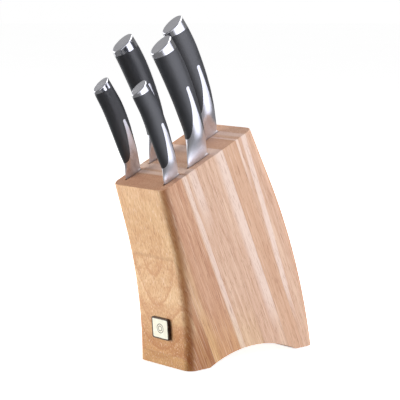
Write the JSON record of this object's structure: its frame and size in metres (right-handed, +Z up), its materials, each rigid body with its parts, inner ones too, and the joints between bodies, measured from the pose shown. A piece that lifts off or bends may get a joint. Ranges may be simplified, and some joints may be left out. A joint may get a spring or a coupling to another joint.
{
  "type": "knife block with knives",
  "caption": "Leaning hardwood knife block on an arched foot, holding forged kitchen knives with black handles that slide out of blind slots.",
  "frame": {"origin": "middle of the bounding box in plan, at the level the rubber feet stand on", "axes": "+Z up, +X across the block to the right seen from the front, -Y out of the front face, the side the block leans to"},
  "size_m": [0.082, 0.2516, 0.3666],
  "materials": {
    "hardwood_pale": "sanded and oiled, open grain, low sheen",
    "hardwood_tan": "sanded and oiled, open grain, low sheen",
    "foot_rubber": "matt moulded rubber",
    "badge_metal": "dark plated rim, semi-gloss",
    "badge_enamel": "gloss cream resin",
    "blade_steel": "satin-ground forged stainless steel",
    "handle_black": "satin black moulded polymer",
    "cap_steel": "polished side, brushed butt face",
    "pin_steel": "plain steel pin"
  },
  "bodies": {
    "block": {"stave_1": "hardwood_pale", "stave_2": "hardwood_pale", "stave_3": "hardwood_tan", "stave_4": "hardwood_pale", "stave_5": "hardwood_pale", "stave_6": "hardwood_tan", "stave_7": "hardwood_pale", "foot_front_left": "foot_rubber", "foot_front_right": "foot_rubber", "foot_back_left": "foot_rubber", "foot_back_right": "foot_rubber", "badge_frame": "badge_metal", "badge_plate": "badge_enamel"},
    "paring_knife": {"paring_blade": "blade_steel", "paring_scale_left": "handle_black", "paring_scale_right": "handle_black", "paring_end_cap": "cap_steel", "paring_tang_pins": "pin_steel"},
    "utility_knife": {"utility_blade": "blade_steel", "utility_scale_left": "handle_black", "utility_scale_right": "handle_black", "utility_end_cap": "cap_steel", "utility_tang_pins": "pin_steel"},
    "bread_knife": {"bread_blade": "blade_steel", "bread_scale_left": "handle_black", "bread_scale_right": "handle_black", "bread_end_cap": "cap_steel", "bread_tang_pins": "pin_steel"},
    "cooks_knife": {"cooks_blade": "blade_steel", "cooks_scale_left": "handle_black", "cooks_scale_right": "handle_black", "cooks_end_cap": "cap_steel", "cooks_tang_pins": "pin_steel"},
    "carving_knife": {"carving_blade": "blade_steel", "carving_scale_left": "handle_black", "carving_scale_right": "handle_black", "carving_end_cap": "cap_steel", "carving_tang_pins": "pin_steel"}
  },
  "joints": [
    {"name": "paring_knife_slide", "type": "slide", "parent": "block", "child": "paring_knife", "axis": [0, -0.4067, 0.9135], "range_m": [0, 0.11]},
    {"name": "utility_knife_slide", "type": "slide", "parent": "block", "child": "utility_knife", "axis": [0, -0.4067, 0.9135], "range_m": [0, 0.145]},
    {"name": "bread_knife_slide", "type": "slide", "parent": "block", "child": "bread_knife", "axis": [0, -0.4067, 0.9135], "range_m": [0, 0.22]},
    {"name": "cooks_knife_slide", "type": "slide", "parent": "block", "child": "cooks_knife", "axis": [0, -0.4067, 0.9135], "range_m": [0, 0.22]},
    {"name": "carving_knife_slide", "type": "slide", "parent": "block", "child": "carving_knife", "axis": [0, -0.4067, 0.9135], "range_m": [0, 0.215]}
  ]
}
